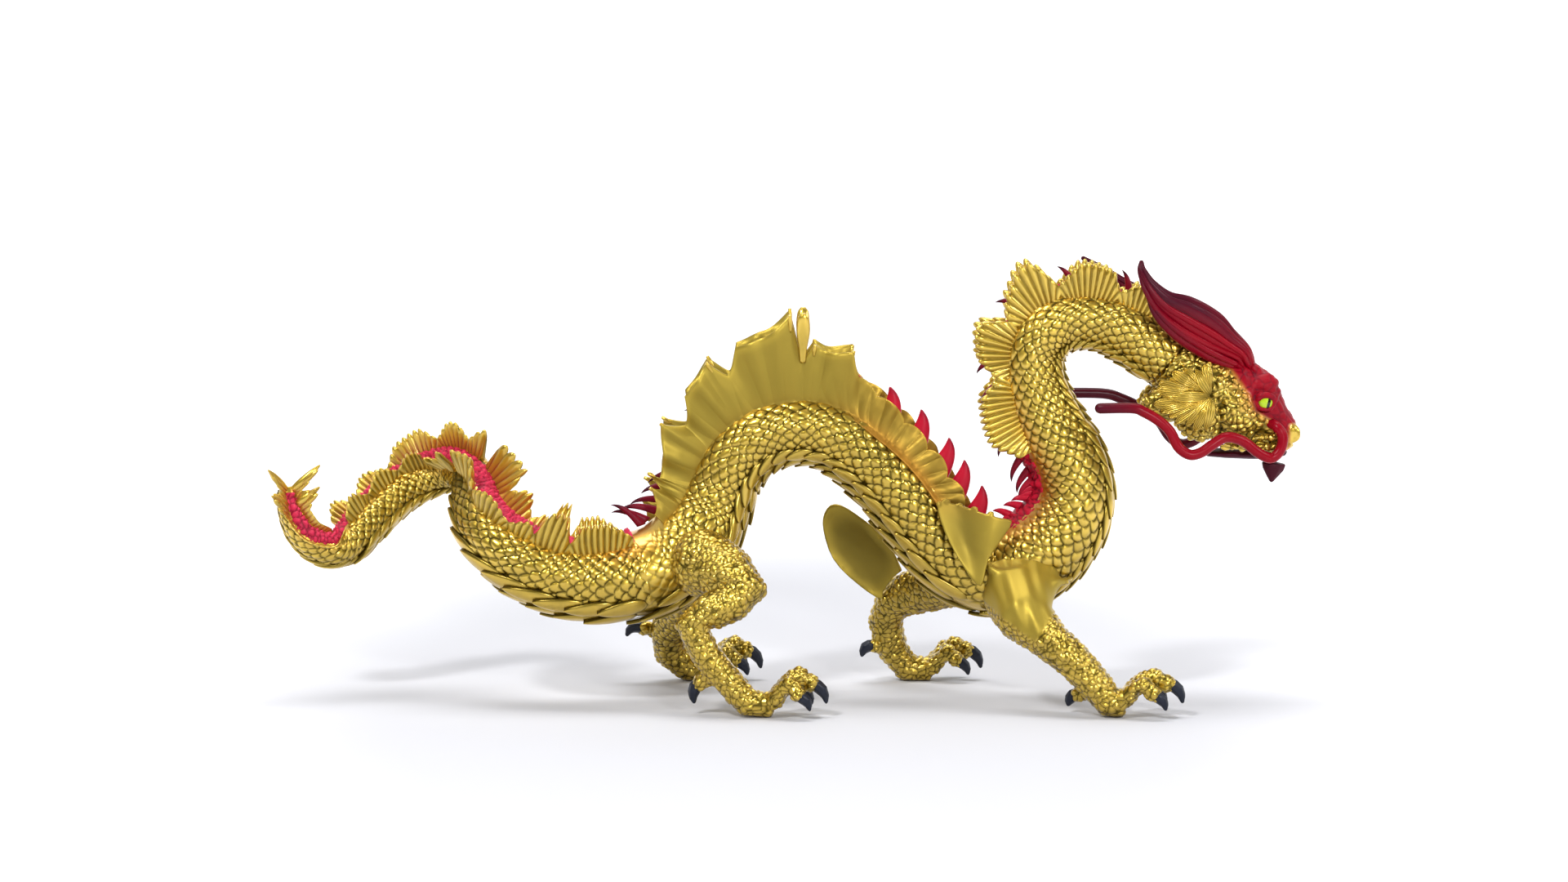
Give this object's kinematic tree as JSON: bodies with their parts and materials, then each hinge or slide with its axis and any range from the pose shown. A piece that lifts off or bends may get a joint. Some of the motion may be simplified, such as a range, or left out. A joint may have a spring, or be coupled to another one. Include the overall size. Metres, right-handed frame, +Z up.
{
  "type": "dragon figurine",
  "caption": "Rigid moulded figurine of a long, wingless walking dragon with a curled tail, dorsal frills, whiskers and clawed feet, standing on four flat soles.",
  "frame": {"origin": "middle of the bounding box's underside, on the floor between the four soles", "axes": "+X towards the head, the way the dragon walks; +Y to the dragon's left; +Z up"},
  "size_m": [0.1904, 0.0514, 0.0823],
  "materials": {
    "gold_paint": "metallic gold paint with a dark wash in the hollows",
    "red_paint": "satin red paint",
    "pink_paint": "satin pink and red paint",
    "maroon_paint": "satin maroon paint",
    "claw_paint": "gloss blue-black paint",
    "eye_paint": "gloss green paint with a black slit"
  },
  "bodies": {
    "root": {"cheek_frill_left": "gold_paint", "cheek_frill_right": "gold_paint", "chin_tuft": "maroon_paint", "claw_fore_leg_left_1": "claw_paint", "claw_fore_leg_left_2": "claw_paint", "claw_fore_leg_left_3": "claw_paint", "claw_fore_leg_left_rear": "claw_paint", "claw_fore_leg_right_1": "claw_paint", "claw_fore_leg_right_2": "claw_paint", "claw_fore_leg_right_3": "claw_paint", "claw_fore_leg_right_rear": "claw_paint", "claw_hind_leg_left_1": "claw_paint", "claw_hind_leg_left_2": "claw_paint", "claw_hind_leg_left_3": "claw_paint", "claw_hind_leg_left_rear": "claw_paint", "claw_hind_leg_right_1": "claw_paint", "claw_hind_leg_right_2": "claw_paint", "claw_hind_leg_right_3": "claw_paint", "claw_hind_leg_right_rear": "claw_paint", "elbow_fin_left": "gold_paint", "elbow_fin_right": "gold_paint", "eye_left": "eye_paint", "eye_right": "eye_paint", "fore_leg_left": "gold_paint", "fore_leg_right": "gold_paint", "frill_left_neck": "gold_paint", "frill_left_tail_base": "gold_paint", "frill_left_tail_middle": "gold_paint", "frill_left_tail_tip": "gold_paint", "frill_left_trunk": "gold_paint", "frill_right_neck": "gold_paint", "frill_right_tail_base": "gold_paint", "frill_right_tail_middle": "gold_paint", "frill_right_tail_tip": "gold_paint", "frill_right_trunk": "gold_paint", "head": "gold_paint", "hind_leg_left": "gold_paint", "hind_leg_right": "gold_paint", "lower_jaw": "maroon_paint", "mane_left": "red_paint", "mane_right": "red_paint", "neck": "gold_paint", "ridge_neck": "pink_paint", "ridge_tail_base": "pink_paint", "ridge_tail_middle": "pink_paint", "ridge_tail_tip": "pink_paint", "ridge_trunk": "pink_paint", "tail_base": "gold_paint", "tail_middle": "gold_paint", "tail_tip": "gold_paint", "trunk": "gold_paint", "whisker_left": "red_paint", "whisker_right": "red_paint"}
  },
  "joints": []
}
